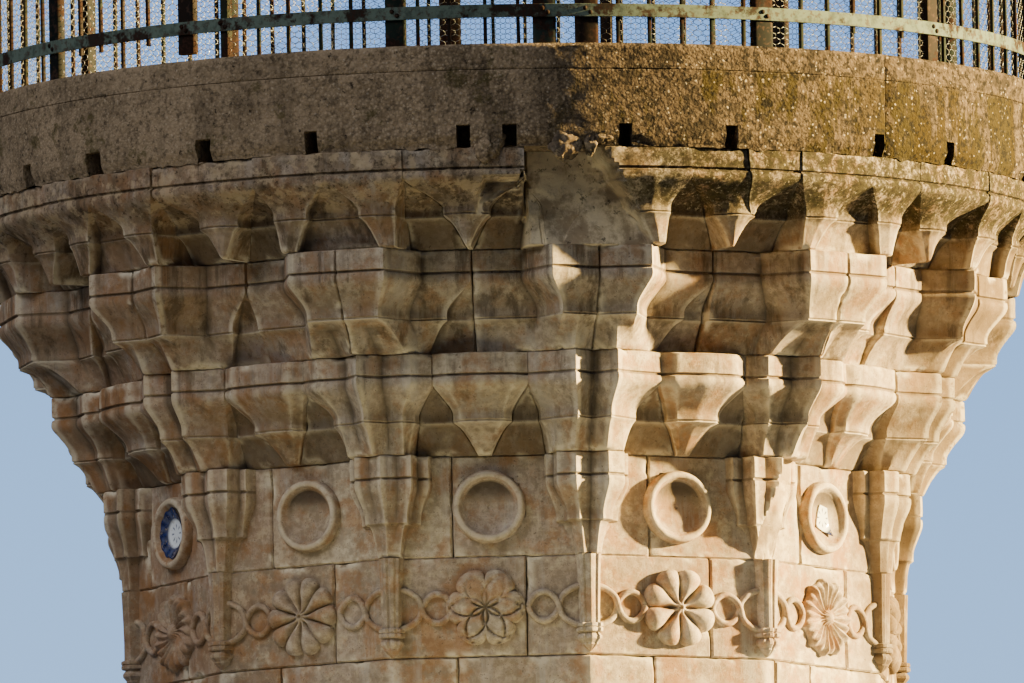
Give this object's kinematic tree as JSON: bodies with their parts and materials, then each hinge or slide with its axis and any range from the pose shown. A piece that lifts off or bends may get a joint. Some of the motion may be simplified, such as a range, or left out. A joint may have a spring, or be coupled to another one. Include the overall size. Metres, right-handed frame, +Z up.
{
  "type": "stone minaret balcony stage",
  "caption": "Balcony stage of a round stone minaret: twelve-sided hollow shaft with rosettes and medallions, stalactite corbels, concrete ring and open steel railing.",
  "frame": {"origin": "on the axis of the tower, at the underside of the lowest stone course", "axes": "+Z up the axis of the tower, -Y through the middle of the side that faces the viewer"},
  "size_m": [4.26, 4.26, 3.525],
  "materials": {
    "limestone": "weathered dressed limestone",
    "concrete": "rough board-cast concrete",
    "painted_steel": "worn green paint over rust",
    "glazed_ceramic": "glossy white glaze with cobalt rim"
  },
  "bodies": {
    "root": {"balcony_floor": "concrete", "ceramic_plate": "glazed_ceramic", "concrete_ring_1": "concrete", "concrete_ring_2": "concrete", "concrete_ring_3": "concrete", "concrete_ring_4": "concrete", "concrete_ring_5": "concrete", "concrete_ring_6": "concrete", "corbel_tier_2_1": "limestone", "corbel_tier_2_2": "limestone", "corbel_tier_2_3": "limestone", "corbel_tier_2_4": "limestone", "corbel_tier_2_5": "limestone", "corbel_tier_2_6": "limestone", "corbel_tier_3_1": "limestone", "corbel_tier_3_2": "limestone", "corbel_tier_3_3": "limestone", "corbel_tier_3_4": "limestone", "corbel_tier_3_5": "limestone", "corbel_tier_3_6": "limestone", "corbel_tier_4_1": "limestone", "corbel_tier_4_2": "limestone", "corbel_tier_4_3": "limestone", "corbel_tier_4_4": "limestone", "corbel_tier_4_5": "limestone", "corbel_tier_4_6": "limestone", "medallion_course_1": "limestone", "medallion_course_2": "limestone", "medallion_course_3": "limestone", "medallion_course_4": "limestone", "medallion_course_5": "limestone", "medallion_course_6": "limestone", "railing_panel_1": "painted_steel", "railing_panel_2": "painted_steel", "railing_panel_3": "painted_steel", "railing_panel_4": "painted_steel", "railing_panel_5": "painted_steel", "railing_panel_6": "painted_steel", "shaft_wall_1": "limestone", "shaft_wall_2": "limestone", "shaft_wall_3": "limestone", "shaft_wall_4": "limestone", "shaft_wall_5": "limestone", "shaft_wall_6": "limestone"}
  },
  "joints": []
}
